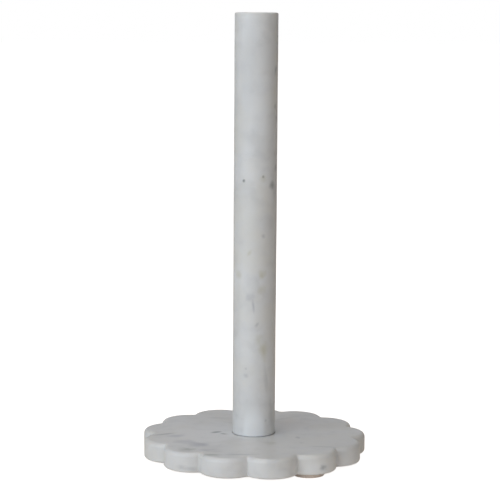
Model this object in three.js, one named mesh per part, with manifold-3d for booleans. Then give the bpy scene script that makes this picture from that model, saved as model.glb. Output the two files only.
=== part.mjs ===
// Paper towel holder: a scalloped marble base, a marble post for the roll, and the stud,
// washers and nut that pull the two together from below.
// Units are millimetres, +Z is up. The origin is on the post's axis, on the table.

import * as THREE from 'three';
import { mergeVertices } from 'three/addons/utils/BufferGeometryUtils.js';
import Module from 'manifold-3d';

// Base slab
const BASE_DIAMETER = 160;
const BASE_THICKNESS = 14;
const BASE_EDGE_ROUNDING = 2.5;
const PETAL_COUNT = 13;
const PETAL_RADIUS = 20.1;
const NOTCH_FILLET = 1.5;

// Post, which stands in a shallow seat in the top of the slab
const POST_DIAMETER = 30.4;
const POST_HEIGHT = 297.5;
const POST_TOP_ROUNDING = 1.2;
const POST_FOOT_CHAMFER = 0.6;
const POST_SEAT_DEPTH = 1.2;
const POST_BORE_DIAMETER = 12;
const POST_BORE_DEPTH = 42;

// Hidden fastening: an M8 stud bonded into the post, with a washer, a rubber washer and a jam nut
const CLEARANCE = 0.3;
const STUD_DIAMETER = 8;
const STUD_LENGTH = 50.6;
const STUD_CHAMFER = 0.8;
const STUD_HOLE_DIAMETER = 9;
const NUT_RECESS_DIAMETER = 26;
const NUT_RECESS_DEPTH = 8;
const WASHER_DIAMETER = 24;
const RUBBER_WASHER_THICKNESS = 1.5;
const FLAT_WASHER_THICKNESS = 1.6;
const NUT_ACROSS_FLATS = 13;
const NUT_THICKNESS = 4;
const NUT_CHAMFER_ANGLE = Math.PI / 6;
const NUT_FACE_INSET = 0.2;
const STUD_END_BELOW_NUT = 0.5;

// Foot pads, each under a petal and turned a little about the post from its middle
const PAD_DIAMETER = 22;
const PAD_THICKNESS = 3;
const PAD_EDGE_CHAMFER = 0.3;
const PAD_CIRCLE_RADIUS = 64;
const PAD_PETALS = [1, 5, 9];
const PAD_TURN = THREE.MathUtils.degToRad(-2.2);

// Facets
const ARC_DIVISIONS = 5;
const EDGE_DIVISIONS = 3;
const POST_SIDES = 72;
const SMALL_SIDES = 48;

// How far a cutting tool runs past the face that it cuts
const OVERRUN = 1;

// Heights above the table
const BASE_BOTTOM = PAD_THICKNESS;
const BASE_TOP = BASE_BOTTOM + BASE_THICKNESS;
const POST_BOTTOM = BASE_TOP - POST_SEAT_DEPTH;
const POST_TOP = BASE_TOP + POST_HEIGHT;
const BORE_TOP = POST_BOTTOM + POST_BORE_DEPTH;
const RECESS_CEILING = BASE_BOTTOM + NUT_RECESS_DEPTH;
const FLAT_WASHER_TOP = RECESS_CEILING - RUBBER_WASHER_THICKNESS;
const NUT_TOP = FLAT_WASHER_TOP - FLAT_WASHER_THICKNESS;
const NUT_BOTTOM = NUT_TOP - NUT_THICKNESS;
const STUD_BOTTOM = NUT_BOTTOM - STUD_END_BELOW_NUT;
const STUD_TOP = STUD_BOTTOM + STUD_LENGTH;

const PETAL_ANGLE = (2 * Math.PI) / PETAL_COUNT;
const FRONT = -Math.PI / 2;

const MATERIALS = {
  marble: new THREE.MeshStandardMaterial({ color: 0xdcdcda, roughness: 0.3, metalness: 0 }),
  steel: new THREE.MeshStandardMaterial({ color: 0xb9bcbf, roughness: 0.35, metalness: 1 }),
  resin: new THREE.MeshStandardMaterial({ color: 0xc9b98c, roughness: 0.4, metalness: 0 }),
  rubber: new THREE.MeshStandardMaterial({ color: 0x26262a, roughness: 0.75, metalness: 0 }),
  felt: new THREE.MeshStandardMaterial({ color: 0xb7a591, roughness: 0.95, metalness: 0 }),
};

const wasm = await Module();
wasm.setup();

// A closed three.js geometry as a manifold solid.
function solid(geometry) {
  const bare = geometry.index ? geometry.toNonIndexed() : geometry.clone();
  bare.deleteAttribute('normal');
  bare.deleteAttribute('uv');
  const merged = mergeVertices(bare, 1e-4);
  return new wasm.Manifold(new wasm.Mesh({
    numProp: 3,
    vertProperties: new Float32Array(merged.attributes.position.array),
    triVerts: new Uint32Array(merged.index.array),
  }));
}

// A manifold solid as a three.js geometry.
function geometryOf(manifold) {
  const mesh = manifold.getMesh();
  const geometry = new THREE.BufferGeometry();
  geometry.setAttribute('position', new THREE.BufferAttribute(mesh.vertProperties, 3));
  geometry.setIndex(new THREE.BufferAttribute(mesh.triVerts, 1));
  geometry.computeVertexNormals();
  return geometry;
}

// A solid of revolution about Z from [radius, z] points that run upwards on the outside.
function turned(points, sides) {
  const profile = points.map(([radius, z]) => new THREE.Vector2(radius, z));
  return new THREE.LatheGeometry(profile, sides).rotateX(Math.PI / 2);
}

// A plain cylinder that stands on z = bottom.
function cylinder(diameter, bottom, top, sides) {
  const radius = diameter / 2;
  return turned([[0, bottom], [radius, bottom], [radius, top], [0, top]], sides);
}

// A flat ring that stands on z = bottom.
function ring(outerDiameter, innerDiameter, bottom, top) {
  const outer = outerDiameter / 2;
  const inner = innerDiameter / 2;
  return turned([
    [inner, bottom],
    [outer, bottom],
    [outer, top],
    [inner, top],
    [inner, bottom],
  ], SMALL_SIDES);
}

// The base's outline: convex petals joined by small concave fillets, with petal 0 at the front.
function petalOutline() {
  const petalCentre = BASE_DIAMETER / 2 - PETAL_RADIUS;
  const half = PETAL_ANGLE / 2;
  const reach = PETAL_RADIUS + NOTCH_FILLET;
  const notchCentre = petalCentre * Math.cos(half)
    + Math.sqrt(reach ** 2 - (petalCentre * Math.sin(half)) ** 2);
  const petalSweep = Math.atan2(notchCentre * Math.sin(half), notchCentre * Math.cos(half) - petalCentre);
  const notchSweep = petalSweep - half;

  const outline = new THREE.Shape();
  for (let petal = 0; petal < PETAL_COUNT; petal++) {
    const angle = FRONT + petal * PETAL_ANGLE;
    outline.absarc(petalCentre * Math.cos(angle), petalCentre * Math.sin(angle),
      PETAL_RADIUS, angle - petalSweep, angle + petalSweep, false);
    const notch = angle + half;
    outline.absarc(notchCentre * Math.cos(notch), notchCentre * Math.sin(notch),
      NOTCH_FILLET, notch + Math.PI + notchSweep, notch + Math.PI - notchSweep, true);
  }
  return outline;
}

function baseSlab() {
  const slab = new THREE.ExtrudeGeometry(petalOutline(), {
    depth: BASE_THICKNESS - 2 * BASE_EDGE_ROUNDING,
    curveSegments: ARC_DIVISIONS,
    bevelThickness: BASE_EDGE_ROUNDING,
    bevelSize: BASE_EDGE_ROUNDING,
    bevelOffset: -BASE_EDGE_ROUNDING,
    bevelSegments: EDGE_DIVISIONS,
  }).translate(0, 0, BASE_BOTTOM + BASE_EDGE_ROUNDING);
  const postSeat = cylinder(POST_DIAMETER + 2 * CLEARANCE, POST_BOTTOM, BASE_TOP + OVERRUN, POST_SIDES);
  const studHole = cylinder(STUD_HOLE_DIAMETER, BASE_BOTTOM - OVERRUN, BASE_TOP + OVERRUN, SMALL_SIDES);
  const nutRecess = cylinder(NUT_RECESS_DIAMETER, BASE_BOTTOM - OVERRUN, RECESS_CEILING, SMALL_SIDES);
  return geometryOf(solid(slab)
    .subtract(solid(postSeat))
    .subtract(solid(studHole))
    .subtract(solid(nutRecess)));
}

// The post with its blind bore. Its profile runs from the top of the bore round to the top centre.
function post() {
  const radius = POST_DIAMETER / 2;
  const bore = POST_BORE_DIAMETER / 2;
  const rounding = Array.from({ length: EDGE_DIVISIONS + 1 }, (_, step) => {
    const turn = (step / EDGE_DIVISIONS) * (Math.PI / 2);
    return [
      radius - POST_TOP_ROUNDING * (1 - Math.cos(turn)),
      POST_TOP - POST_TOP_ROUNDING * (1 - Math.sin(turn)),
    ];
  });
  return turned([
    [0, BORE_TOP],
    [bore, BORE_TOP],
    [bore, POST_BOTTOM],
    [radius - POST_FOOT_CHAMFER, POST_BOTTOM],
    [radius, POST_BOTTOM + POST_FOOT_CHAMFER],
    ...rounding,
    [0, POST_TOP],
  ], POST_SIDES);
}

function threadedStud() {
  const radius = STUD_DIAMETER / 2;
  return turned([
    [0, STUD_BOTTOM],
    [radius - STUD_CHAMFER, STUD_BOTTOM],
    [radius, STUD_BOTTOM + STUD_CHAMFER],
    [radius, STUD_TOP - STUD_CHAMFER],
    [radius - STUD_CHAMFER, STUD_TOP],
    [0, STUD_TOP],
  ], SMALL_SIDES);
}

// The set resin between stud and bore: a cup that is open at the bottom.
function studBond() {
  const outer = POST_BORE_DIAMETER / 2 - CLEARANCE;
  const inner = STUD_DIAMETER / 2 + CLEARANCE;
  const cupCeiling = STUD_TOP + CLEARANCE;
  return turned([
    [0, cupCeiling],
    [inner, cupCeiling],
    [inner, BASE_TOP],
    [outer, BASE_TOP],
    [outer, BORE_TOP - CLEARANCE],
    [0, BORE_TOP - CLEARANCE],
  ], SMALL_SIDES);
}

function washer(bottom, top) {
  return ring(WASHER_DIAMETER, STUD_DIAMETER + 2 * CLEARANCE, bottom, top);
}

// A thin hexagon nut, its corners chamfered at both ends by the cones of the blank.
function hexNut() {
  const cornerRadius = NUT_ACROSS_FLATS / 2 / Math.cos(Math.PI / 6);
  const hexagon = new THREE.Shape();
  for (let corner = 0; corner < 6; corner++) {
    const angle = (corner * Math.PI) / 3;
    const place = [cornerRadius * Math.cos(angle), cornerRadius * Math.sin(angle)];
    if (corner === 0) hexagon.moveTo(...place);
    else hexagon.lineTo(...place);
  }
  hexagon.closePath();
  const prism = new THREE.ExtrudeGeometry(hexagon, { depth: NUT_THICKNESS, bevelEnabled: false })
    .translate(0, 0, NUT_BOTTOM);
  const faceRadius = NUT_ACROSS_FLATS / 2 - NUT_FACE_INSET;
  const blankRadius = cornerRadius + OVERRUN;
  const coneHeight = (blankRadius - faceRadius) * Math.tan(NUT_CHAMFER_ANGLE);
  const blank = turned([
    [0, NUT_BOTTOM],
    [faceRadius, NUT_BOTTOM],
    [blankRadius, NUT_BOTTOM + coneHeight],
    [blankRadius, NUT_TOP - coneHeight],
    [faceRadius, NUT_TOP],
    [0, NUT_TOP],
  ], SMALL_SIDES);
  const boreDiameter = STUD_DIAMETER + 2 * CLEARANCE;
  const bore = cylinder(boreDiameter, NUT_BOTTOM - OVERRUN, NUT_TOP + OVERRUN, SMALL_SIDES);
  return geometryOf(solid(prism).intersect(solid(blank)).subtract(solid(bore)));
}

function footPad() {
  const radius = PAD_DIAMETER / 2;
  return turned([
    [0, 0],
    [radius - PAD_EDGE_CHAMFER, 0],
    [radius, PAD_EDGE_CHAMFER],
    [radius, PAD_THICKNESS],
    [0, PAD_THICKNESS],
  ], SMALL_SIDES);
}

const holder = new THREE.Group();

function add(name, geometry, material) {
  const mesh = new THREE.Mesh(geometry, material);
  mesh.name = name;
  holder.add(mesh);
  return mesh;
}

add('base_slab', baseSlab(), MATERIALS.marble);
add('post', post(), MATERIALS.marble);
add('threaded_stud', threadedStud(), MATERIALS.steel);
add('stud_bond', studBond(), MATERIALS.resin);
add('rubber_washer', washer(FLAT_WASHER_TOP, RECESS_CEILING), MATERIALS.rubber);
add('flat_washer', washer(NUT_TOP, FLAT_WASHER_TOP), MATERIALS.steel);
add('hex_nut', hexNut(), MATERIALS.steel);

PAD_PETALS.forEach((petal, index) => {
  const angle = FRONT + petal * PETAL_ANGLE + PAD_TURN;
  const pad = add(`felt_pad_${index + 1}`, footPad(), MATERIALS.felt);
  pad.position.set(PAD_CIRCLE_RADIUS * Math.cos(angle), PAD_CIRCLE_RADIUS * Math.sin(angle), 0);
});

export default holder;
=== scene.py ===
import math

import bpy
import numpy as np
from mathutils import Matrix, Vector


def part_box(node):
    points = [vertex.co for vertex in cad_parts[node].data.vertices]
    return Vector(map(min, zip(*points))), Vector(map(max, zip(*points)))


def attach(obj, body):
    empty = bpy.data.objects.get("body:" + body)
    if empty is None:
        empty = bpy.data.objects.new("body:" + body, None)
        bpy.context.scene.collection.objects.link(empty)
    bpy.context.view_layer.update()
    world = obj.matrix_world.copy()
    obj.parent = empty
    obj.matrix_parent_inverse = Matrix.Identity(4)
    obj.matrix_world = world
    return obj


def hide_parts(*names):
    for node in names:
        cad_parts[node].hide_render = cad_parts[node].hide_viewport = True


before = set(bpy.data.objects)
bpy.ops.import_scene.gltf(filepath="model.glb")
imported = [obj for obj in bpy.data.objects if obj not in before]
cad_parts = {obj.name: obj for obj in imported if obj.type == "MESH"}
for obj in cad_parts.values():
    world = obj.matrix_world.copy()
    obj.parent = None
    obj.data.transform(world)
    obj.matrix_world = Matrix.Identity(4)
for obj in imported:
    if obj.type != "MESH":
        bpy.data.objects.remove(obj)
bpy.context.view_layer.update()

# --- Scalloped base -----------------------------------------------------------------------------
# A slab of white marble, sawn to thickness, its thirteen petals ground to shape and its edges
# rounded over on a polishing wheel. From above it is drilled with a shallow seat for the post,
# from below with a recess for the nut, and a hole for the stud joins the two.
MM = 0.001
PETALS = 13
PETAL_ANGLE = 2 * math.pi / PETALS
PETAL_RADIUS = 20.1 * MM
PETAL_STEPS = 34
NOTCH_RADIUS = 0.8 * MM
NOTCH_STEPS = 12
TOP_ROUNDING = 3.3 * MM
FOOT_ROUNDING = 1.9 * MM
ROUNDING_STEPS = 9
DRILLED_EDGE = 0.35 * MM
POLISH_LOSS = 0.05 * MM
HAND_WAVER = 0.05 * MM
SHARP_ANGLE = math.radians(32)

SEAT_RADIUS = 15.35 * MM
SEAT_EDGE = 0.15 * MM
SEAT_DEPTH = 1.2 * MM
HOLE_RADIUS = 4.5 * MM
RECESS_RADIUS = 13 * MM
RECESS_DEPTH = 8 * MM

base_low, base_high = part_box("base_slab")
BASE_RADIUS = -base_low[1]
BASE_UNDERSIDE = base_low[2]
BASE_TOP = base_high[2]


def cylindrical(radius, bearing, height):
    """Points given by their distance from Z, their bearing and their height, as x, y and z."""
    x, y, z = np.broadcast_arrays(radius * np.cos(bearing), radius * np.sin(bearing), height)
    return np.stack([x, y, z], axis=-1)


def scalloped_ring(inset, height):
    """One ring of the base's outline, drawn in by inset. Thirteen convex arcs are joined by
    thirteen small concave ones; each arc keeps its centre as the outline is drawn in, so a
    petal's radius shrinks by the inset, a notch's radius grows by it, and they stay tangent.
    The polish, and a slow waver that is a product of two sines, take off a little more."""
    petal_centre = BASE_RADIUS - PETAL_RADIUS
    half = PETAL_ANGLE / 2
    reach = PETAL_RADIUS + NOTCH_RADIUS
    aside = petal_centre * math.sin(half)
    notch_centre = petal_centre * math.cos(half) + math.sqrt(reach**2 - aside**2)
    petal_sweep = math.atan2(notch_centre * math.sin(half), notch_centre * math.cos(half) - petal_centre)
    notch_sweep = petal_sweep - half

    petal = np.arange(PETALS)[:, None] * PETAL_ANGLE - math.pi / 2
    along_petal = petal + np.linspace(-petal_sweep, petal_sweep, PETAL_STEPS)[None, :]
    across_notch = np.linspace(notch_sweep, -notch_sweep, NOTCH_STEPS + 2)[None, 1:-1]
    along_notch = petal + half + math.pi + across_notch
    turn = np.concatenate([along_petal, along_notch], axis=1)
    is_petal = np.arange(PETAL_STEPS + NOTCH_STEPS)[None, :] < PETAL_STEPS
    centre_angle = np.where(is_petal, petal, petal + half)
    waver = HAND_WAVER * (0.5 + 0.5 * np.sin(3 * centre_angle + 1.3) * np.sin(5 * turn + 0.4))
    drawn_in = inset + POLISH_LOSS + waver
    radius = np.where(is_petal, PETAL_RADIUS - drawn_in, NOTCH_RADIUS + drawn_in)
    centre = np.where(is_petal, petal_centre, notch_centre)
    x = centre * np.cos(centre_angle) + radius * np.cos(turn)
    y = centre * np.sin(centre_angle) + radius * np.sin(turn)
    return np.stack([x, y, np.full_like(x, height)], axis=-1).reshape(-1, 3)


def rounded_edge(rounding, steps):
    """A quarter-round edge from the side to the flat face, as how far each point lies in from
    the side and how far from the face: the rounding times one less the cosine of its turn, and
    times one less the sine."""
    turn = np.linspace(0, math.pi / 2, steps + 1)
    return rounding * np.stack([1 - np.cos(turn), 1 - np.sin(turn)], axis=-1)


def new_piece(name, points, faces):
    """An object in the scene whose mesh has the given points and faces."""
    mesh = bpy.data.meshes.new(name)
    mesh.from_pydata(points.tolist(), [], faces)
    piece = bpy.data.objects.new(name, mesh)
    bpy.context.scene.collection.objects.link(piece)
    return piece


def closed_mesh(name, rings, poles=None):
    """A closed mesh from a grid of rings, an array of ring by point by coordinate. Quads join
    each ring to the next and each ring's last point to its first. Without poles the last ring
    joins the first one, as on a torus; with two poles a fan of triangles closes each end.
    The faces are turned round if the volume that they enclose comes out negative."""
    count, around = rings.shape[:2]
    points = rings.reshape(-1, 3)
    start = np.arange(count if poles is None else count - 1)[:, None] * around
    step = np.arange(around)[None, :]
    ahead = (step + 1) % around
    over = (start + around) % (count * around)
    quads = np.stack([start + step, start + ahead, over + ahead, over + step], axis=-1).reshape(-1, 4)
    fans = np.empty((0, 3), int)
    if poles is not None:
        points = np.concatenate([points, np.array(poles)])
        first, last = count * around, count * around + 1
        end = (count - 1) * around
        low_fan = np.stack([np.full(around, first), ahead[0], step[0]], axis=-1)
        high_fan = np.stack([np.full(around, last), end + step[0], end + ahead[0]], axis=-1)
        fans = np.concatenate([low_fan, high_fan])
    halves = np.concatenate([quads[:, [0, 1, 2]], quads[:, [0, 2, 3]], fans])
    corners = points[halves]
    volume = np.sum(corners[:, 0] * np.cross(corners[:, 1], corners[:, 2])) / 6
    if volume < 0:
        quads, fans = quads[:, ::-1], fans[:, ::-1]

    piece = new_piece(name, points, quads.tolist() + fans.tolist())
    piece.data.validate()
    piece.data.shade_smooth()
    piece.data.set_sharp_from_angle(angle=SHARP_ANGLE)
    return piece


def base_rings():
    """The base's rings, in order round its section: across the top, over the rim, down and
    under, up the recess, through the stud hole and back up the post's seat."""
    outline = scalloped_ring(0, 0)
    bearing = np.arctan2(outline[:, 1], outline[:, 0])
    bevel = DRILLED_EDGE
    seat_floor = BASE_TOP - SEAT_DEPTH
    ceiling = BASE_UNDERSIDE + RECESS_DEPTH
    seat_mouth = cylindrical(SEAT_RADIUS + SEAT_EDGE, bearing, BASE_TOP)
    recess_mouth = cylindrical(RECESS_RADIUS + bevel, bearing, BASE_UNDERSIDE)
    top_edge = scalloped_ring(TOP_ROUNDING, BASE_TOP)
    foot_edge = scalloped_ring(FOOT_ROUNDING, BASE_UNDERSIDE)
    rim = rounded_edge(TOP_ROUNDING, ROUNDING_STEPS)[::-1]
    foot = rounded_edge(FOOT_ROUNDING, ROUNDING_STEPS)
    drilled = [
        (RECESS_RADIUS, BASE_UNDERSIDE + bevel),
        (RECESS_RADIUS, ceiling - bevel),
        (RECESS_RADIUS - bevel, ceiling),
        (HOLE_RADIUS + bevel, ceiling),
        (HOLE_RADIUS, ceiling + bevel),
        (HOLE_RADIUS, seat_floor - bevel),
        (HOLE_RADIUS + bevel, seat_floor),
        (SEAT_RADIUS, seat_floor),
        (SEAT_RADIUS, BASE_TOP - SEAT_EDGE),
    ]
    rings = [seat_mouth + (top_edge - seat_mouth) * part for part in (0, 0.02, 0.35, 0.7, 0.96)]
    rings += [scalloped_ring(inset, BASE_TOP - drop) for inset, drop in rim]
    rings += [scalloped_ring(inset, BASE_UNDERSIDE + rise) for inset, rise in foot]
    rings += [foot_edge + (recess_mouth - foot_edge) * part for part in (0.04, 0.3, 0.65, 0.98, 1)]
    rings += [cylindrical(radius, bearing, height) for radius, height in drilled]
    return np.array(rings)


def fill(tree, made, inputs):
    """Gives a node's inputs their values: a socket is linked, anything else is set."""
    for key, value in inputs.items():
        if isinstance(value, bpy.types.NodeSocket):
            tree.links.new(value, made.inputs[key])
        else:
            made.inputs[key].default_value = value


def node(tree, kind, inputs, **settings):
    """Adds a shader node with its settings, and then sets or links its inputs."""
    made = tree.nodes.new("ShaderNode" + kind)
    for key, value in settings.items():
        setattr(made, key, value)
    fill(tree, made, inputs)
    return made


def mixed(tree, factor, first, second):
    """The colour between first and second, by factor."""
    return node(tree, "Mix", {0: factor, 6: first, 7: second}, data_type="RGBA").outputs[2]


def reckoned(tree, operation, first, second=0.0):
    """The result of one Math node."""
    return node(tree, "Math", {0: first, 1: second}, operation=operation).outputs[0]


def vector(tree, operation, first, second=(0, 0, 0)):
    """The result of one Vector Math node: a number for LENGTH and DOT_PRODUCT, a vector for the
    others. SCALE takes a number as its second value."""
    second_input = "Scale" if operation == "SCALE" else 1
    made = node(tree, "VectorMath", {0: first, second_input: second}, operation=operation)
    return made.outputs["Value" if operation in ("LENGTH", "DOT_PRODUCT") else "Vector"]


def noise(tree, place, size, detail=2.0, roughness=0.5, distortion=0.0, output=0):
    """Noise whose features are about size metres across, as its value or its Color."""
    inputs = {"Vector": place, "Scale": 1 / size, "Detail": detail, "Roughness": roughness}
    return node(tree, "TexNoise", inputs | {"Distortion": distortion}).outputs[output]


def pushed(tree, place, pattern_place, size, reach):
    """The place moved about by noise: along each axis by the noise, less a half, times reach."""
    push = noise(tree, pattern_place, size, output="Color")
    push = vector(tree, "SUBTRACT", push, (0.5, 0.5, 0.5))
    return vector(tree, "ADD", place, vector(tree, "SCALE", push, reach))


def spread(tree, value, low, high, to_low=0.0, to_high=1.0):
    """A smooth step of value from low to high, which goes from to_low to to_high."""
    inputs = {"Value": value, "From Min": low, "From Max": high, "To Min": to_low, "To Max": to_high}
    return node(tree, "MapRange", inputs, interpolation_type="SMOOTHSTEP").outputs[0]


def bump(tree, height, strength, distance):
    """The normal of a surface with this relief: strength, 0 to 1, of a height of distance metres."""
    return node(tree, "Bump", {"Height": height, "Strength": strength, "Distance": distance}).outputs[0]


def new_group(name, inputs, outputs):
    """An empty shader node group with named sockets, and its input and output nodes."""
    group = bpy.data.node_groups.new(name, "ShaderNodeTree")
    for in_out, sockets in (("INPUT", inputs), ("OUTPUT", outputs)):
        for socket, kind in sockets.items():
            group.interface.new_socket(name=socket, in_out=in_out, socket_type="NodeSocket" + kind)
    return group, group.nodes.new("NodeGroupInput").outputs, group.nodes.new("NodeGroupOutput").inputs


def new_material(name):
    """A material with a Principled BSDF, with its tree, shader and Object coordinates."""
    material = bpy.data.materials.new(name)
    material.use_nodes = True
    tree = material.node_tree
    coordinates = tree.nodes.new("ShaderNodeTexCoord").outputs["Object"]
    return material, tree, tree.nodes["Principled BSDF"], coordinates


WARP_SIZE = 26 * MM
WARP_REACH = 16 * MM
CLOUD_SIZE = 48 * MM
WISP_SIZE = 12 * MM
CREAM_SIZE = 30 * MM
VEIN_SIZE = 62 * MM
VEINED_PLACE_SIZE = 40 * MM
CRYSTAL_SIZE = 1.3 * MM
SMEAR_SIZE = 35 * MM
RELIEF_SIZE = 12 * MM
PATCH_OUTLINE_SIZE = 0.9


def marble_stone_group():
    """Marble seen through its polish. Warped noise gives soft grey clouds with smaller wisps in
    them and, by another noise, places that lean to cream. The thin places where one more noise
    crosses its middle value give veins, and a fine one gives the sugary crystals. The polish
    varies slowly in sheen and relief."""
    group, given, result = new_group(
        "marble_stone",
        {"Coordinates": "Vector", "Pale": "Color", "Cloud": "Color", "Cream": "Color", "Vein": "Color",
         "Cloud Amount": "Float", "Vein Amount": "Float", "Cream Amount": "Float"},
        {"Colour": "Color", "Roughness": "Float", "Relief": "Float"},
    )
    place = given["Coordinates"]
    warped = pushed(group, place, place, WARP_SIZE, WARP_REACH)

    cloud = spread(group, noise(group, warped, CLOUD_SIZE, 3), 0.40, 0.68)
    wisp = spread(group, noise(group, warped, WISP_SIZE, 4, 0.55), 0.44, 0.70, 0.0, 0.9)
    cloudy = reckoned(group, "MULTIPLY", reckoned(group, "ADD", cloud, wisp), given["Cloud Amount"])
    colour = mixed(group, cloudy, given["Pale"], given["Cloud"])

    cream = spread(group, noise(group, warped, CREAM_SIZE, 3), 0.44, 0.66)
    creamy = reckoned(group, "MULTIPLY", cream, given["Cream Amount"])
    colour = mixed(group, creamy, colour, given["Cream"])

    crossing = reckoned(group, "SUBTRACT", noise(group, warped, VEIN_SIZE, 4), 0.5)
    line = spread(group, reckoned(group, "ABSOLUTE", crossing), 0.0, 0.03, 1.0, 0.0)
    where = spread(group, noise(group, place, VEINED_PLACE_SIZE), 0.52, 0.68)
    vein = reckoned(group, "MULTIPLY", reckoned(group, "MULTIPLY", line, where), given["Vein Amount"])
    colour = mixed(group, vein, colour, given["Vein"])

    bright = spread(group, noise(group, place, CRYSTAL_SIZE, 2, 0.6), 0.3, 0.7, 0.996, 1.004)
    colour = vector(group, "SCALE", colour, bright)
    rough = spread(group, noise(group, place, SMEAR_SIZE, 3), 0.35, 0.7, 0.30, 0.38)
    relief = noise(group, place, RELIEF_SIZE, 1)
    for socket, value in (("Colour", colour), ("Roughness", rough), ("Relief", relief)):
        group.links.new(value, result[socket])
    return group


def mark_and_light_patch_group():
    """One soft-edged patch, used both for the marks in the stone and for the patches of painted light and
    shade. The place is moved to the patch's centre, turned back by the patch's rotation and divided by its
    half size, so the patch is a unit ball there. Noise of the patch's own scale pushes its outline about. The
    mask falls from one in the core to nothing at the ball's skin."""
    group, given, result = new_group(
        "mark_and_light_patch",
        {"Coordinates": "Vector", "Centre": "Vector", "Rotation": "Vector", "Half Size": "Vector",
         "Core": "Float", "Ragged": "Float"},
        {"Mask": "Float"},
    )
    away = vector(group, "SUBTRACT", given["Coordinates"], given["Centre"])
    turned = node(group, "VectorRotate", {"Vector": away, "Rotation": given["Rotation"]},
                  rotation_type="EULER_XYZ", invert=True).outputs[0]
    unit = vector(group, "DIVIDE", turned, given["Half Size"])
    pattern_place = vector(group, "ADD", unit, vector(group, "SCALE", given["Centre"], 1 / MM))
    unit = pushed(group, unit, pattern_place, PATCH_OUTLINE_SIZE, given["Ragged"])
    mask = spread(group, vector(group, "LENGTH", unit), given["Core"], 1.0, 1.0, 0.0)
    group.links.new(mask, result["Mask"])
    return group


marble_stone = marble_stone_group()
mark_and_light_patch = mark_and_light_patch_group()

MARBLE_PALE = (0.745, 0.754, 0.757, 1)
# The cloud grey below also serves as a painted shade over the window's reflection on the post.
CLOUD_GREY_AND_PAINTED_SHADE = (0.610, 0.620, 0.625, 1)
MARBLE_CREAM = (0.725, 0.722, 0.690, 1)
MARBLE_VEIN = (0.390, 0.405, 0.415, 1)
FLECK_DARK = (0.130, 0.145, 0.145, 1)
FLECK_GREY = (0.330, 0.350, 0.370, 1)
FLECK_BLUE = (0.400, 0.415, 0.460, 1)
FLECK_GREEN = (0.330, 0.360, 0.320, 1)
FLECK_TAN = (0.500, 0.480, 0.330, 1)
# The pale fleck colour below is also used as painted light on the base's walls and on the post.
PALE_FLECK_AND_PAINTED_LIGHT = (0.850, 0.870, 0.880, 1)


def marble_material(name, marks, cloud_amount, vein_amount, cream_amount):
    """Polished marble with its own marks, and with patches of painted light and shade laid on the same way.
    Each mark or patch is a centre, a rotation, a half size, how much of it is solid core, how ragged it is,
    how strong it is, and a colour."""
    material, tree, shader, place = new_material(name)
    stone = node(tree, "Group", {
        "Coordinates": place, "Pale": MARBLE_PALE, "Cloud": CLOUD_GREY_AND_PAINTED_SHADE, "Cream": MARBLE_CREAM,
        "Vein": MARBLE_VEIN, "Cloud Amount": cloud_amount, "Vein Amount": vein_amount,
        "Cream Amount": cream_amount,
    }, node_tree=marble_stone)
    colour = stone.outputs["Colour"]
    # Each mark, and each patch of painted light or shade, is mixed over the stone's colour.
    for centre, rotation, half_size, core, ragged, strength, tint in marks:
        mark = node(tree, "Group", {
            "Coordinates": place, "Centre": centre, "Rotation": rotation, "Half Size": half_size,
            "Core": core, "Ragged": ragged,
        }, node_tree=mark_and_light_patch)
        colour = mixed(tree, reckoned(tree, "MULTIPLY", mark.outputs["Mask"], strength), colour, tint)
    fill(tree, shader, {
        "Base Color": colour,
        "Roughness": stone.outputs["Roughness"],
        "Normal": bump(tree, stone.outputs["Relief"], 0.1, 0.2 * MM),
        "IOR": 1.5,
        "Subsurface Weight": 0.25,
        "Subsurface Radius": (1.0, 0.85, 0.7),
        "Subsurface Scale": 2.5 * MM,
    })
    return material


BASE_PATCH_CORE = 0.1


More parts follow.
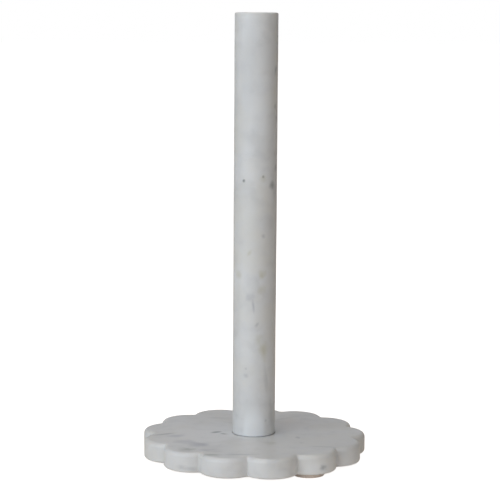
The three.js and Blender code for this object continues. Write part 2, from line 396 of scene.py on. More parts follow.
def base_marks_and_painted_light():
    """The marks on the base, and three patches of painted light that brighten the walls of the petals at the
    front right: x, y and z of the centre, how it is turned about Z in degrees, its half length, half width
    and half depth, all in millimetres, then how ragged it is, its strength and its colour."""
    rows = [
        # Painted light: three pale patches at mid height that brighten the walls of the petals at the front
        # right.
        (10, -80, 6, 0, 24.0, 9.0, 11.0, 0.4, 0.45, PALE_FLECK_AND_PAINTED_LIGHT),
        (32, -71, 6, 24, 22.0, 9.0, 11.0, 0.4, 0.75, PALE_FLECK_AND_PAINTED_LIGHT),
        (58, -49, 6, 48, 22.0, 9.0, 11.0, 0.4, 0.75, PALE_FLECK_AND_PAINTED_LIGHT),
        (-26.5, 4, 17, 14, 6.0, 3.0, 1.5, 0.5, 0.85, FLECK_DARK),
        (-22, -2, 17, -30, 4.0, 2.2, 1.5, 0.5, 0.75, FLECK_DARK),
        (-64, 3.5, 17, 18, 12.0, 2.8, 2.0, 0.5, 0.58, FLECK_GREY),
        (-56, -2, 17, 10, 9.0, 7.0, 3.0, 1.3, 0.46, FLECK_BLUE),
        (-52, -21, 17, -35, 10.0, 9.0, 3.0, 1.3, 0.40, FLECK_BLUE),
        (-44, -31, 17, -10, 10.0, 8.5, 3.0, 1.2, 0.70, FLECK_BLUE),
        (-54, -42, 17, 15, 8.5, 7.0, 3.0, 1.2, 0.60, FLECK_GREEN),
        (-40, -47, 17, -8, 12.0, 6.5, 3.0, 1.3, 0.40, FLECK_BLUE),
        (-40, -60, 17, -14, 9.0, 4.0, 2.5, 0.8, 0.50, FLECK_GREEN),
        (-20, -62, 17, -8, 17.0, 2.6, 2.5, 0.9, 0.40, FLECK_GREY),
        (6, -34, 17, 5, 6.0, 6.0, 2.0, 0.8, 0.26, FLECK_GREEN),
        (28, -21, 17, 0, 2.5, 4.5, 2.0, 0.8, 0.48, FLECK_GREY),
        (27, -36, 17, 0, 2.5, 4.0, 2.0, 0.8, 0.18, FLECK_GREY),
        (40, -50, 17, -18, 17.0, 3.0, 2.5, 0.8, 0.26, FLECK_GREY),
        (34, -70, 8.2, 26, 4.4, 4.6, 3.4, 0.7, 0.85, FLECK_GREY),
        (-59, -51, 6.8, -38, 6.0, 5.0, 2.6, 0.9, 0.30, FLECK_GREY),
        (-52, -55, 6.2, -38, 8.0, 5.0, 2.4, 0.9, 0.34, FLECK_GREY),
        (30, 38, 17, 30, 16.0, 3.0, 2.0, 0.8, 0.20, FLECK_GREY),
        (-18, 48, 17, -20, 11.0, 4.0, 2.0, 0.8, 0.20, FLECK_GREY),
    ]
    return [
        (
            (x * MM, y * MM, z * MM), (0, 0, math.radians(turn)), (long * MM, wide * MM, deep * MM),
            BASE_PATCH_CORE, ragged, strength, tint,
        )
        for x, y, z, turn, long, wide, deep, ragged, strength, tint in rows
    ]


base_marble = marble_material(
    "polished_marble_base", base_marks_and_painted_light(), cloud_amount=0.35, vein_amount=0.20, cream_amount=0.50
)
scalloped_base = closed_mesh("scalloped_base", base_rings())
scalloped_base.data.materials.append(base_marble)
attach(scalloped_base, "root")
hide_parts("base_slab")

# --- Post ---------------------------------------------------------------------------------------
# A round bar of the same marble, turned and polished all over. Its foot is eased where it meets
# the seat, its top edge is softened so that a roll slides on, and its end is bored for the stud.
POST_SIDES = 160
POST_TOP_ROUNDING = 1.2 * MM
POST_FOOT_ROUNDING = 0.8 * MM
POST_ROUNDING_STEPS = 6
POST_TENON_TAPER = 0.2 * MM
POST_SWELL = 0.03 * MM
POST_BORE_RADIUS = 6 * MM
POST_BORE_DEPTH = 42 * MM
POST_PATCH_DEPTH = 3 * MM

post_low, post_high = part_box("post")
POST_RADIUS = post_high[1]
POST_FOOT = post_low[2]
POST_TOP = post_high[2]
POST_BORE_TOP = POST_FOOT + POST_BORE_DEPTH


def whole_turn(sides):
    """Bearings once round, in even steps, as a row."""
    return np.linspace(0, 2 * math.pi, sides, endpoint=False)[None, :]


def turned_rings(profile, sides):
    """Rings for a turned piece: each radius and height of the profile swept once round Z."""
    profile = np.asarray(profile)
    return cylindrical(profile[:, :1], whole_turn(sides), profile[:, 1:])


def post_profile():
    """Radius and height down the inside of the bore, round the tenon and the eased foot, up the
    side and over the softened top edge. The side swells and thins by a few hundredths, as the
    sum of two sines of its height, the way that hand polishing leaves it."""
    bore = [
        (POST_BORE_RADIUS * 0.5, POST_BORE_TOP),
        (POST_BORE_RADIUS - DRILLED_EDGE, POST_BORE_TOP),
        (POST_BORE_RADIUS, POST_BORE_TOP - DRILLED_EDGE),
        (POST_BORE_RADIUS, POST_FOOT + DRILLED_EDGE),
        (POST_BORE_RADIUS + DRILLED_EDGE, POST_FOOT),
    ]
    tenon = [(POST_RADIUS - POST_FOOT_ROUNDING - POST_TENON_TAPER, POST_FOOT)]
    inset, rise = rounded_edge(POST_FOOT_ROUNDING, POST_ROUNDING_STEPS)[::-1].T
    foot = np.stack([POST_RADIUS - inset, BASE_TOP + rise], axis=-1)
    inset, drop = rounded_edge(POST_TOP_ROUNDING, POST_ROUNDING_STEPS).T
    crown = np.stack([POST_RADIUS - inset, POST_TOP - drop], axis=-1)
    heights = np.linspace(foot[-1, 1], crown[0, 1], 42)[1:-1]
    swell = POST_SWELL * (np.sin(heights * 47) + np.sin(heights * 110 + 1.1) - 2)
    side = np.stack([POST_RADIUS + swell, heights], axis=-1)
    end = [(crown[-1, 0] * 0.97, POST_TOP), (crown[-1, 0] * 0.5, POST_TOP)]
    return np.concatenate([bore, tenon, foot, side, crown, end])


def post_marks_and_painted_light():
    """The marks on the post, with a painted shade and a painted highlight on the window's reflection at its
    left front and painted light at the front of its foot: bearing from the front in degrees, height, how it
    is tilted in degrees, half width and half height, all else in millimetres, then core, how ragged it is,
    strength and colour."""
    rows = [
        # Painted shade: a grey patch that dims the window's reflection high on the post's left front.
        (-32, 278, 3, 7.5, 66.0, 0.2, 0.4, 0.60, CLOUD_GREY_AND_PAINTED_SHADE),
        (8, 246, 0, 13.0, 50.0, 0.1, 0.5, 0.40, PALE_FLECK_AND_PAINTED_LIGHT),
        # Painted highlight: a pale patch that carries the window's reflection further down the post's left
        # front.
        (-34, 92, 0, 12.0, 62.0, 0.1, 0.5, 0.26, PALE_FLECK_AND_PAINTED_LIGHT),
        # Painted light: a pale patch round the front of the post's foot, for light reflected up from the
        # slab.
        (-10, 18, 0, 24.0, 24.0, 0.4, 0.3, 0.85, PALE_FLECK_AND_PAINTED_LIGHT),
        (-43, 198.5, 0, 1.7, 1.7, 0.1, 0.3, 0.75, FLECK_DARK),
        (10, 201.5, 20, 1.4, 1.7, 0.1, 0.5, 0.50, FLECK_DARK),
        (11, 200, 0, 4.0, 4.0, 0.0, 0.8, 0.28, FLECK_TAN),
        (42, 195, 30, 4.4, 5.0, 0.0, 0.9, 0.55, FLECK_DARK),
        (52, 190, 10, 4.0, 9.0, 0.0, 0.9, 0.30, FLECK_GREY),
        (12, 160, 0, 2.4, 2.2, 0.0, 0.6, 0.40, FLECK_GREY),
        (52, 275, 10, 2.8, 5.5, 0.0, 0.8, 0.62, FLECK_GREY),
        (50, 250, 0, 2.4, 3.4, 0.0, 0.8, 0.50, FLECK_GREY),
        (60, 242, 0, 2.8, 3.6, 0.0, 0.8, 0.60, FLECK_GREY),
        (57, 207, 0, 2.6, 4.0, 0.0, 0.8, 0.60, FLECK_GREY),
        (-26, 148, 30, 1.8, 4.0, 0.0, 0.8, 0.36, FLECK_TAN),
        (8, 133, 15, 4.5, 4.5, 0.0, 1.0, 0.50, FLECK_TAN),
        (-60, 132, 0, 5.0, 4.0, 0.0, 0.9, 0.30, FLECK_TAN),
        (9, 122, 30, 4.5, 5.5, 0.0, 1.0, 0.30, FLECK_TAN),
        (-22, 117, 20, 5.0, 5.0, 0.0, 1.0, 0.36, FLECK_BLUE),
        (-14, 111, -5, 1.6, 7.0, 0.0, 0.8, 0.55, FLECK_BLUE),
        (-4, 97.5, 30, 1.7, 3.2, 0.0, 0.7, 0.40, FLECK_GREY),
        (2, 87, 0, 5.0, 5.0, 0.0, 1.0, 0.26, FLECK_TAN),
        (15, 79, -20, 6.0, 8.5, 0.0, 0.9, 0.52, FLECK_TAN),
        (-33, 66, 0, 1.6, 1.3, 0.0, 0.5, 0.28, FLECK_GREY),
        (-33, 61, 0, 2.8, 2.5, 0.0, 0.7, 0.30, FLECK_GREY),
        (24, 57, -8, 3.0, 15.0, 0.0, 0.8, 0.26, FLECK_GREY),
        (44, 33, -6, 3.6, 16.0, 0.0, 0.8, 0.24, FLECK_GREY),
        (23, 28.5, 0, 1.7, 1.9, 0.1, 0.6, 0.30, FLECK_GREY),
        (120, 230, 10, 5.0, 11.0, 0.0, 0.9, 0.30, FLECK_GREY),
        (165, 150, -25, 2.4, 16.0, 0.0, 0.8, 0.36, FLECK_GREY),
        (-130, 90, 30, 4.0, 10.0, 0.0, 0.9, 0.28, FLECK_GREY),
    ]
    marks = []
    for bearing, height, tilt, wide, tall, core, ragged, strength, tint in rows:
        turn = math.radians(bearing)
        centre = (POST_RADIUS * math.sin(turn), -POST_RADIUS * math.cos(turn), height * MM)
        half_size = (wide * MM, POST_PATCH_DEPTH, tall * MM)
        marks.append((centre, (0, math.radians(tilt), turn), half_size, core, ragged, strength, tint))
    return marks


post_marble = marble_material(
    "polished_marble_post", post_marks_and_painted_light(), cloud_amount=0.42, vein_amount=0.14, cream_amount=0.70
)
post_rings = turned_rings(post_profile(), POST_SIDES)
marble_post = closed_mesh("marble_post", post_rings, [(0, 0, POST_BORE_TOP), (0, 0, POST_TOP)])
marble_post.data.materials.append(post_marble)
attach(marble_post, "root")
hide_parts("post")

# --- Stud ---------------------------------------------------------------------------------------
# A length of zinc-plated M8 threaded rod with chamfered ends. It is glued into the post and comes
# out of its foot, down through the base.
THREAD_PITCH = 1.25 * MM
THREAD_DEPTH = 0.68 * MM
THREAD_STEEPNESS = 1.5
STUD_CHAMFER = 0.8 * MM
STUD_SIDES = 48
STUD_STEPS = 481

stud_low, stud_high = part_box("threaded_stud")
STUD_RADIUS = stud_high[1]


def thread_wave(bearing, height):
    """How deep a screw thread is cut, from 0 at its crest to 1 at its root: a triangle wave
    along a helix of one pitch a turn, made steeper and clipped to flatten its crest and root."""
    phase = (height / THREAD_PITCH - bearing / (2 * math.pi)) % 1.0
    wave = 0.5 + (np.abs(2 * phase - 1) - 0.5) * THREAD_STEEPNESS
    return np.clip(wave, 0, 1)


def stud_rings():
    """A grid of bearing by height. The radius is the thread's, or that of the end chamfers'
    cones where they are smaller."""
    bearing = whole_turn(STUD_SIDES)
    height = np.linspace(stud_low[2], stud_high[2], STUD_STEPS)[:, None]
    to_end = np.minimum(height - stud_low[2], stud_high[2] - height)
    cone = STUD_RADIUS - STUD_CHAMFER + to_end
    radius = np.minimum(STUD_RADIUS - THREAD_DEPTH * thread_wave(bearing, height), cone)
    return cylindrical(radius, bearing, height)


ZINC_BRIGHT = (0.66, 0.67, 0.69, 1)
ZINC_DULL = (0.50, 0.50, 0.49, 1)
ZINC_CLOUD_SIZE = 3 * MM
ZINC_SPOT_SIZE = 0.9 * MM
ZINC_MARK_SIZE = 2 * MM
ZINC_MARK_SQUEEZE = (1, 1, 12)


def zinc_group():
    """Bright zinc plate: faintly cloudy passivation, turned marks round Z and small dull spots."""
    group, given, result = new_group(
        "zinc_plate",
        {"Coordinates": "Vector", "Metal": "Color", "Dull": "Color"},
        {"Colour": "Color", "Roughness": "Float", "Relief": "Float"},
    )
    place = given["Coordinates"]
    cloud = spread(group, noise(group, place, ZINC_CLOUD_SIZE, 4, 0.6), 0.4, 0.7)
    spot = spread(group, noise(group, place, ZINC_SPOT_SIZE), 0.6, 0.72)
    dulled = reckoned(group, "MAXIMUM", reckoned(group, "MULTIPLY", cloud, 0.6), spot)
    colour = mixed(group, dulled, given["Metal"], given["Dull"])
    rough = spread(group, dulled, 0.0, 1.0, 0.26, 0.5)
    squeezed = vector(group, "MULTIPLY", place, ZINC_MARK_SQUEEZE)
    turned = noise(group, squeezed, ZINC_MARK_SIZE)
    for socket, value in (("Colour", colour), ("Roughness", rough), ("Relief", turned)):
        group.links.new(value, result[socket])
    return group


def zinc_material():
    """Zinc-plated steel."""
    material, tree, shader, place = new_material("zinc_steel")
    plate = node(
        tree, "Group", {"Coordinates": place, "Metal": ZINC_BRIGHT, "Dull": ZINC_DULL}, node_tree=zinc_group()
    )
    fill(tree, shader, {
        "Base Color": plate.outputs["Colour"],
        "Roughness": plate.outputs["Roughness"],
        "Normal": bump(tree, plate.outputs["Relief"], 0.15, 0.05 * MM),
        "Metallic": 1.0,
    })
    return material


zinc_steel = zinc_material()
stud = closed_mesh("stud", stud_rings(), [(0, 0, stud_low[2]), (0, 0, stud_high[2])])
stud.data.materials.append(zinc_steel)
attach(stud, "root")
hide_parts("threaded_stud")

# --- Set resin ----------------------------------------------------------------------------------
# Amber stone adhesive that filled the bore round the stud and set there. It keeps the shape of
# the space, with a rolled meniscus at its lower end where it ran down and stopped.
THREAD_CLEARANCE = 0.3 * MM
BOND_SIDES = 64
BOND_CORNER_IN = 0.2 * MM
BOND_CORNER_DOWN = 0.4 * MM
BOND_SHOULDER_IN = 0.7 * MM
BOND_SHOULDER_DOWN = 0.6 * MM
BOND_RIPPLE = 0.06 * MM

bond_low, bond_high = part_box("stud_bond")
BOND_OUTER = bond_high[1]
BOND_INNER = STUD_RADIUS + THREAD_CLEARANCE
BOND_TOP = bond_high[2]
BOND_CEILING = stud_high[2] + THREAD_CLEARANCE


def bond_profile():
    """Radius and height from the cup's ceiling down its inside, round the meniscus, which is half
    a circle, and up its outside, which ripples as a sine of its height between the bore's
    drilling marks."""
    middle = (BOND_INNER + BOND_OUTER) / 2
    half_wall = (BOND_OUTER - BOND_INNER) / 2
    turn = np.linspace(math.pi, 2 * math.pi, 9)
    lip_height = bond_low[2] + half_wall * (1 + np.sin(turn))
    lip = np.stack([middle + half_wall * np.cos(turn), lip_height], axis=-1)
    heights = np.linspace(lip[-1, 1], BOND_TOP - BOND_SHOULDER_DOWN, 60)[1:]
    outside = np.stack([BOND_OUTER - BOND_RIPPLE * (1 + np.sin(heights * 3500)), heights], axis=-1)
    inside = [
        (BOND_INNER * 0.5, BOND_CEILING),
        (BOND_INNER - BOND_CORNER_IN, BOND_CEILING),
        (BOND_INNER, BOND_CEILING - BOND_CORNER_DOWN),
    ]
    end = [(BOND_OUTER - BOND_SHOULDER_IN, BOND_TOP), (BOND_OUTER * 0.4, BOND_TOP)]
    return np.concatenate([inside, lip, outside, end])


RESIN_DARK = (0.52, 0.40, 0.17, 1)
RESIN_LIGHT = (0.70, 0.58, 0.30, 1)
RESIN_BUBBLE = (0.82, 0.76, 0.58, 1)
BUBBLE_SPACING = 1.6 * MM
RESIN_CLOUD_SIZE = 7 * MM


def resin_material():
    """Set resin: amber, a little see-through, with trapped bubbles that show as pale dots."""
    material, tree, shader, place = new_material("set_resin")
    bubble = node(tree, "TexVoronoi", {"Vector": place, "Scale": 1 / BUBBLE_SPACING}).outputs["Distance"]
    pale = spread(tree, bubble, 0.12, 0.26, 0.7, 0.0)
    cloud = noise(tree, place, RESIN_CLOUD_SIZE, 3)
    amber = mixed(tree, cloud, RESIN_DARK, RESIN_LIGHT)
    fill(tree, shader, {
        "Base Color": mixed(tree, pale, amber, RESIN_BUBBLE),
        "Roughness": spread(tree, cloud, 0.3, 0.7, 0.18, 0.4),
        "Normal": bump(tree, cloud, 0.2, 0.3 * MM),
        "Subsurface Weight": 0.3,
        "Subsurface Scale": 1.5 * MM,
    })
    return material


bond_rings = turned_rings(bond_profile(), BOND_SIDES)
resin = closed_mesh("resin_sleeve", bond_rings, [(0, 0, BOND_CEILING), (0, 0, BOND_TOP)])
resin.data.materials.append(resin_material())
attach(resin, "root")
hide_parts("stud_bond")

# --- Rubber washer ------------------------------------------------------------------------------
# A ring stamped from black rubber sheet. It lies against the stone so that the steel washer
# doesn't bruise it, and bulges a little at its rim under the nut's pull.
RING_SIDES = 96
RIM_BULGE = 0.25 * MM
RIM_INSET = 0.27 * MM

rubber_low, rubber_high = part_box("rubber_washer")
RUBBER_RADIUS = rubber_high[1]
WASHER_BORE = STUD_RADIUS + THREAD_CLEARANCE


def rubber_rings():
    """Rings round the washer's section. The outer and inner rims are half a sine wave, so they
    stand proud at mid thickness."""
    low, high = rubber_low[2], rubber_high[2]
    up = np.linspace(0, 1, 9)
    height = low + (high - low) * up
    bulge = RIM_BULGE * np.sin(math.pi * up)
    outer = np.stack([RUBBER_RADIUS - RIM_INSET + bulge, height], axis=-1)
    inner = np.stack([WASHER_BORE + RIM_INSET - bulge, height], axis=-1)[::-1]
    across = np.linspace(outer[-1, 0], inner[0, 0], 6)[1:-1]
    top = np.stack([across, np.full_like(across, high)], axis=-1)
    bottom = np.stack([across[::-1], np.full_like(across, low)], axis=-1)
    return turned_rings(np.concatenate([outer, top, inner, bottom]), RING_SIDES)


RUBBER_BLACK = (0.018, 0.018, 0.020, 1)
RUBBER_GREY = (0.055, 0.056, 0.058, 1)
RUBBER_GRAIN_SIZE = 0.35 * MM
RUBBER_BLOOM_SIZE = 5 * MM


def rubber_material():
    """Black rubber sheet: matt, with a fine pressed grain and a grey bloom."""
    material, tree, shader, place = new_material("black_rubber")
    grain = noise(tree, place, RUBBER_GRAIN_SIZE, 3, 0.6)
    bloom = spread(tree, noise(tree, place, RUBBER_BLOOM_SIZE, 4, 0.6), 0.4, 0.75)
    fill(tree, shader, {
        "Base Color": mixed(tree, bloom, RUBBER_BLACK, RUBBER_GREY),
        "Roughness": spread(tree, bloom, 0.0, 1.0, 0.62, 0.82),
        "Normal": bump(tree, grain, 0.4, 0.08 * MM),
    })
    return material


rubber_ring = closed_mesh("rubber_ring", rubber_rings())
rubber_ring.data.materials.append(rubber_material())
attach(rubber_ring, "root")
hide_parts("rubber_washer")

# --- Steel washer -------------------------------------------------------------------------------
# A wide zinc-plated washer. The punch that stamped it drew its upper edges over and left its
# lower ones square.
DIE_ROLL = 0.35 * MM
DIE_ROLL_STEPS = 5
PUNCHED_EDGE = 0.08 * MM

washer_low, washer_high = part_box("flat_washer")
WASHER_RADIUS = washer_high[1]


def washer_rings():
    """Rings round the washer's section: small bevels below, quarter-round edges above."""
    low, high = washer_low[2], washer_high[2]
    middle = (WASHER_RADIUS + WASHER_BORE) / 2
    inset, drop = rounded_edge(DIE_ROLL, DIE_ROLL_STEPS).T
    outer = np.stack([WASHER_RADIUS - inset, high - drop], axis=-1)
    inner = np.stack([WASHER_BORE + inset, high - drop], axis=-1)[::-1]
    lower = [
        (WASHER_BORE, low + PUNCHED_EDGE),
        (WASHER_BORE + PUNCHED_EDGE, low),
        (middle, low),
        (WASHER_RADIUS - PUNCHED_EDGE, low),
        (WASHER_RADIUS, low + PUNCHED_EDGE),
    ]
    return turned_rings(np.concatenate([outer, [(middle, high)], inner, lower]), RING_SIDES)


steel_washer = closed_mesh("steel_washer", washer_rings())
steel_washer.data.materials.append(zinc_steel)
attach(steel_washer, "root")
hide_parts("flat_washer")

# --- Nut ----------------------------------------------------------------------------------------
# A thin M8 hexagon nut, cold formed from zinc-plated steel. Its corners are chamfered at both
# ends, its bore is threaded, and it draws the post down on to the base.
NUT_HALF_FLATS = 6.5 * MM
NUT_FACE_INSET = 0.2 * MM
NUT_BORE = STUD_RADIUS + THREAD_CLEARANCE
NUT_MOUTH = 0.5 * MM
NUT_THREAD = 0.2 * MM
NUT_SIDES = 144
THIRTY_DEGREES = math.pi / 6

nut_low, nut_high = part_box("hex_nut")


def nut_rings():
    """Rings round the nut's section, on a grid of bearing by height. Outside, the radius is the
    hexagon's or, near an end, that of the chamfer's cone where it is smaller. Inside, it is the
    bore less the thread, opened by a countersink at each mouth."""
    low, high = nut_low[2], nut_high[2]
    bearing = whole_turn(NUT_SIDES)
    facet = (bearing + THIRTY_DEGREES) % (2 * THIRTY_DEGREES) - THIRTY_DEGREES
    hexagon = NUT_HALF_FLATS / np.cos(facet)
    outer_height = low + (high - low) * (0.5 - 0.5 * np.cos(np.linspace(0, math.pi, 17)))[:, None]
    to_face = np.minimum(outer_height - low, high - outer_height)
    cone = NUT_HALF_FLATS - NUT_FACE_INSET + to_face / math.tan(THIRTY_DEGREES)
    outer = np.minimum(hexagon, cone)
    inner_height = np.linspace(high, low, 41)[:, None]
    inside = np.minimum(inner_height - low, high - inner_height)
    crest = NUT_THREAD * (inside > NUT_MOUTH) * (1 - thread_wave(bearing, inner_height))
    inner = NUT_BORE + np.maximum(NUT_MOUTH - inside, 0) - crest
    radius = np.concatenate([outer, inner])
    height = np.concatenate([outer_height, inner_height])
    return cylindrical(radius, bearing + THIRTY_DEGREES, height)


nut = closed_mesh("nut", nut_rings())
nut.data.materials.append(zinc_steel)
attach(nut, "root")
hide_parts("hex_nut")

# --- Felt pads ----------------------------------------------------------------------------------
# Three discs punched from pressed beige felt, each stuck under a petal by a film of adhesive.
# The punch leaves a soft, slightly ragged edge with loose fibres.
PAD_SIDES = 180
PAD_CORNER = 0.7 * MM
PAD_CORNER_STEPS = 6
PAD_RAGGED = 0.05 * MM
PAD_WAVES = (5, 9, 14, 23, 37, 58, 83)
GLUE_THICKNESS = 0.25 * MM
GLUE_INSET = 0.4 * MM
GLUE_EDGE = 0.05 * MM
FIBRES = 420
FIBRE_RADIUS = 0.018 * MM
FIBRE_ROOT = 0.2 * MM
FIBRE_SWING = 0.9 * MM
FIBRE_LIFT = 0.25 * MM
FIBRE_REACH = (0.25 * MM, 0.6 * MM)


def felt_rings(centre, radius, top, seed):
    """Rings from the underside's centre round the edge to the top. A few sine waves of random
    phase, the same ones on every ring, make the rim ragged."""
    phases = np.random.default_rng(seed).uniform(0, 2 * math.pi, len(PAD_WAVES))
    bearing = whole_turn(PAD_SIDES)
    inset, rise = rounded_edge(PAD_CORNER, PAD_CORNER_STEPS)[::-1].T
    profile = np.concatenate([
        [(radius * 0.3, 0.0), (radius * 0.7, 0.0)],
        np.stack([radius - inset, rise], axis=-1),
        [(radius, top * 0.5), (radius, top * 0.75), (radius - 0.1 * MM, top - 0.15 * MM)],
        [(radius - 0.3 * MM, top), (radius * 0.5, top)],
    ])
    from_axis, height = profile[:, :1], profile[:, 1:]
    waves = sum(
        np.sin(count * bearing + phase + 3 * height / top) / (1 + 0.05 * count)
        for count, phase in zip(PAD_WAVES, phases)
    )
    at_edge = np.clip((from_axis / radius - 0.8) / 0.2, 0, 1)
    reach = from_axis - PAD_RAGGED * at_edge * (1 + 0.35 * waves)
    return cylindrical(reach, bearing, height) + np.array([*centre, 0.0])


def felt_fibres(name, centre, radius, top, seed):
    """Loose fibres round a pad's rim. Each is a thin three-sided tube along a quadratic curve
    from the rim outwards, its sections square to the curve, closed to a point at both ends. All
    are computed as one array of fibre by step by side."""
    random = np.random.default_rng(seed)
    bearing = random.uniform(0, 2 * math.pi, FIBRES)
    up = np.array([0.0, 0.0, 1.0])
    out = cylindrical(1.0, bearing, 0.0)
    along = np.cross(up, out)
    root = np.array([*centre, 0.0]) + out * (radius - FIBRE_ROOT)
    root = root + up * random.uniform(0.2 * MM, top - 0.25 * MM, FIBRES)[:, None]
    swing = random.uniform(-FIBRE_SWING, FIBRE_SWING, FIBRES)[:, None, None]
    lift = random.uniform(-FIBRE_LIFT, FIBRE_LIFT, FIBRES)[:, None, None]
    reach = random.uniform(*FIBRE_REACH, FIBRES)[:, None, None]
    t = np.linspace(0, 1, 5)[None, :, None]
    outward = 0.5 * reach * (4 * t * (1 - t) + t)
    path = root[:, None] + t * swing * along[:, None] + outward * out[:, None] + t**2 * lift * up
    path[..., 2] = np.clip(path[..., 2], 0.03 * MM, top - 0.05 * MM)

    ahead = path[:, 2:] - path[:, :-2]
    across = np.cross(up, ahead)
    across = across / np.linalg.norm(across, axis=-1, keepdims=True)
    over = np.cross(ahead, across)
    over = over / np.linalg.norm(over, axis=-1, keepdims=True)
    side = np.arange(3)[None, None, :, None] * (2 * math.pi / 3)
    section = np.cos(side) * across[:, :, None] + np.sin(side) * over[:, :, None]
    tube = (path[:, 1:4, None] + FIBRE_RADIUS * section).reshape(FIBRES, 9, 3)
    points = np.concatenate([path[:, :1], tube, path[:, 4:]], axis=1)
    faces = [(0, 2, 1), (0, 3, 2), (0, 1, 3), (10, 7, 8), (10, 8, 9), (10, 9, 7)]
    for ring in (1, 4):
        for k in range(3):
            a, b = ring + k, ring + (k + 1) % 3
            faces += [(a, b, b + 3), (a, b + 3, a + 3)]
    first = points.shape[1] * np.arange(FIBRES)[:, None, None]
    faces = (first + np.array(faces)).reshape(-1, 3)
    return new_piece(name, points.reshape(-1, 3), faces.tolist())


FELT_DARK = (0.740, 0.630, 0.550, 1)
FELT_PALE = (0.930, 0.840, 0.760, 1)
FELT_CLUMP = (0.840, 0.740, 0.660, 1)
FELT_STRAND_SIZE = 1.3 * MM
FELT_CLUMP_SIZE = 2.5 * MM


def felt_material():
    """Pressed wool felt: matted fibres drawn out two ways by stretched noise, pale and dark
    strands mixed, with a soft sheen."""
    material, tree, shader, place = new_material("beige_felt")
    lengthwise = vector(tree, "MULTIPLY", place, (1, 6, 3))
    crosswise = vector(tree, "MULTIPLY", place, (6, 1, 3))
    strands = reckoned(tree, "MAXIMUM", noise(tree, lengthwise, FELT_STRAND_SIZE, 3, 0.6, 1.5),
                       noise(tree, crosswise, FELT_STRAND_SIZE, 3, 0.6, 1.5))
    clump = spread(tree, noise(tree, place, FELT_CLUMP_SIZE, 3), 0.4, 0.7, 0.0, 0.35)
    colour = mixed(tree, spread(tree, strands, 0.45, 0.75), FELT_DARK, FELT_PALE)
    fill(tree, shader, {
        "Base Color": mixed(tree, clump, colour, FELT_CLUMP),
        "Normal": bump(tree, strands, 0.8, 0.15 * MM),
        "Roughness": 0.95,
        "Sheen Weight": 0.35,
        "Sheen Roughness": 0.5,
    })
    return material


GLUE_YELLOW = (0.50, 0.44, 0.32, 1)
GLUE_PALE = (0.66, 0.62, 0.52, 1)
BLISTER_SIZE = 2 * MM


def glue_material():
    """The film of adhesive over a pad: yellowed, with a few trapped air blisters."""
    material, tree, shader, place = new_material("adhesive_film")
    blister = spread(tree, noise(tree, place, BLISTER_SIZE), 0.55, 0.65)
    fill(tree, shader, {
        "Base Color": mixed(tree, blister, GLUE_YELLOW, GLUE_PALE),
        "Roughness": spread(tree, blister, 0.0, 1.0, 0.2, 0.45),
    })
    return material


def glue_rings(centre, radius, low, high):
    """Rings round the film's section, from the middle of its underside round its bevelled edge
    to the middle of its top."""
    profile = [
        (radius * 0.5, low),
        (radius - GLUE_INSET - GLUE_EDGE, low),
        (radius - GLUE_INSET, low + GLUE_EDGE),
        (radius - GLUE_INSET, high - GLUE_EDGE),
        (radius - GLUE_INSET - GLUE_EDGE, high),
        (radius * 0.5, high),
    ]
    return turned_rings(profile, RING_SIDES) + np.array([*centre, 0.0])


felt = felt_material()
glue = glue_material()
for number in (1, 2, 3):
    pad_low, pad_high = (np.array(corner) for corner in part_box(f"felt_pad_{number}"))
    centre = (pad_low + pad_high)[:2] / 2
    radius = (pad_high[0] - pad_low[0]) / 2
    pad_top = pad_high[2]
    felt_top = pad_top - GLUE_THICKNESS

    felt_poles = [(*centre, 0.0), (*centre, felt_top)]
    pad = closed_mesh(f"felt_disc_{number}", felt_rings(centre, radius, felt_top, number), felt_poles)
    pad.data.materials.append(felt)
    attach(pad, "root")
    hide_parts(f"felt_pad_{number}")

    fuzz = felt_fibres(f"felt_fuzz_{number}", centre, radius, felt_top, 10 + number)
    fuzz.data.materials.append(felt)
    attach(fuzz, "root")

    film_poles = [(*centre, felt_top), (*centre, pad_top)]
    film = closed_mesh(f"glue_film_{number}", glue_rings(centre, radius, felt_top, pad_top), film_poles)
    film.data.materials.append(glue)
    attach(film, "root")

# --- Studio -------------------------------------------------------------------------------------
# A white sweep of floor under a large soft window light at the left and a warmer soft light
# overhead, in a dim room with two pale walls. The floor and the room show white to the camera.
FLOOR_HALF = 30.0
CAMERA_BEARING = math.radians(-10.6)
CAMERA_TILT = math.radians(7.46)
CAMERA_ROLL = math.radians(0.4)
CAMERA_DISTANCE = 1206.2 * MM
CAMERA_AIM = Vector((-3.46 * MM, 0, 148.4 * MM))
CAMERA_LENS = 123.05
FLOOR_COLOUR = (0.80, 0.75, 0.69, 1)
FLOOR_GLOW = (0.060, 0.054, 0.048, 1)
FLOOR_WHITE = (0.88, 0.88, 0.88, 1)
ROOM_WHITE = (1, 1, 1, 1)
ROOM_DIM = (0.130, 0.132, 0.122, 1)
ROOM_PATCHES = [
    ((0.206, -0.979, 0), 56, 34, (0.56, 0.54, 0.54, 1)),
    ((0.184, 0.983, 0), 38, 20, (0.44, 0.47, 0.53, 1)),
]


def studio_floor():
    """A square of floor at z = 0. It is a pale matt surface with a glow of its own: white and
    strong to the camera, faint and warm to everything else."""
    corners = FLOOR_HALF * np.array([(-1, -1, 0), (1, -1, 0), (1, 1, 0), (-1, 1, 0)])
    floor = new_piece("floor", corners, [(0, 1, 2, 3)])
    material, tree, shader, _ = new_material("floor")
    seen = tree.nodes.new("ShaderNodeLightPath").outputs["Is Camera Ray"]
    fill(tree, shader, {
        "Base Color": FLOOR_COLOUR,
        "Roughness": 0.9,
        "Specular IOR Level": 0.1,
        "Emission Color": mixed(tree, seen, FLOOR_GLOW, FLOOR_WHITE),
        "Emission Strength": 1.0,
    })
    floor.data.materials.append(material)
    return floor


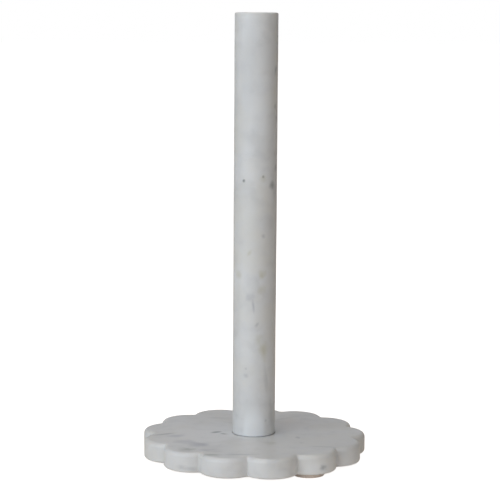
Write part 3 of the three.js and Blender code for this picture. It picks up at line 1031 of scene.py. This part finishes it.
def soft_light(name, place, facing, width, height, brightness, tint):
    """A rectangular soft light that shines along facing. A flat light that sends out brightness
    evenly in all directions has a power of that times pi times its area."""
    light = bpy.data.lights.new(name, "AREA")
    light.shape = "RECTANGLE"
    light.size = width
    light.size_y = height
    light.energy = brightness * math.pi * width * height
    light.color = tint
    lamp = bpy.data.objects.new(name, light)
    turn = Vector(facing).to_track_quat("-Z", "Y").to_matrix().to_4x4()
    lamp.matrix_world = Matrix.Translation(place) @ turn
    bpy.context.scene.collection.objects.link(lamp)


def studio_camera():
    """The camera looks at its aim from its bearing and tilt, rolled a little about its own line
    of sight. The columns of its matrix are its right, its up and the direction behind it."""
    swing = Matrix.Rotation(CAMERA_BEARING, 3, "Z")
    right = swing @ Vector((1, 0, 0))
    ahead = swing @ Vector((0, math.cos(CAMERA_TILT), -math.sin(CAMERA_TILT)))
    up = swing @ Vector((0, math.sin(CAMERA_TILT), math.cos(CAMERA_TILT)))
    rolled_right = math.cos(CAMERA_ROLL) * right + math.sin(CAMERA_ROLL) * up
    rolled_up = math.cos(CAMERA_ROLL) * up - math.sin(CAMERA_ROLL) * right
    lens = bpy.data.cameras.new("camera")
    lens.lens = CAMERA_LENS
    lens.sensor_width = 36
    lens.clip_end = 100
    camera = bpy.data.objects.new("camera", lens)
    turn = Matrix((rolled_right, rolled_up, -ahead)).transposed().to_4x4()
    camera.matrix_world = Matrix.Translation(swing @ CAMERA_AIM - CAMERA_DISTANCE * ahead) @ turn
    bpy.context.scene.collection.objects.link(camera)
    bpy.context.scene.camera = camera


def studio_room():
    """The room round the stage. The camera sees it white. To everything else it is dim, with a
    pale patch of wall behind the camera and another behind the object. A patch is a direction,
    the angles from it at which the patch begins and is full, and a colour; it is a smooth step
    of how near a direction lies to the patch's own."""
    world = bpy.data.worlds.new("room")
    bpy.context.scene.world = world
    world.use_nodes = True
    tree = world.node_tree
    direction = tree.nodes.new("ShaderNodeTexCoord").outputs["Generated"]
    colour = ROOM_DIM
    for toward, begins, full, pale in ROOM_PATCHES:
        nearness = vector(tree, "DOT_PRODUCT", direction, toward)
        inside = spread(tree, nearness, math.cos(math.radians(begins)), math.cos(math.radians(full)))
        colour = mixed(tree, inside, colour, pale)
    room = tree.nodes["Background"]
    fill(tree, room, {"Color": colour, "Strength": 1.0})
    white = node(tree, "Background", {"Color": ROOM_WHITE, "Strength": 1.0})
    seen = tree.nodes.new("ShaderNodeLightPath").outputs["Is Camera Ray"]
    either = node(tree, "MixShader", {0: seen, 1: room.outputs[0], 2: white.outputs[0]})
    fill(tree, tree.nodes["World Output"], {"Surface": either.outputs[0]})


studio_floor()
soft_light(
    "window", place=(-1.20, -1.11, 0.91), facing=(0.943, 0.332, 0), width=1.9, height=1.78,
    brightness=1.98, tint=(0.83, 0.91, 1.0),
)
soft_light(
    "overhead", place=(-0.2, 0.1, 1.7), facing=(0, 0, -1), width=1.0, height=1.0,
    brightness=2.38, tint=(1.0, 0.88, 0.79),
)
studio_room()
studio_camera()
bpy.context.scene.view_settings.view_transform = "Standard"
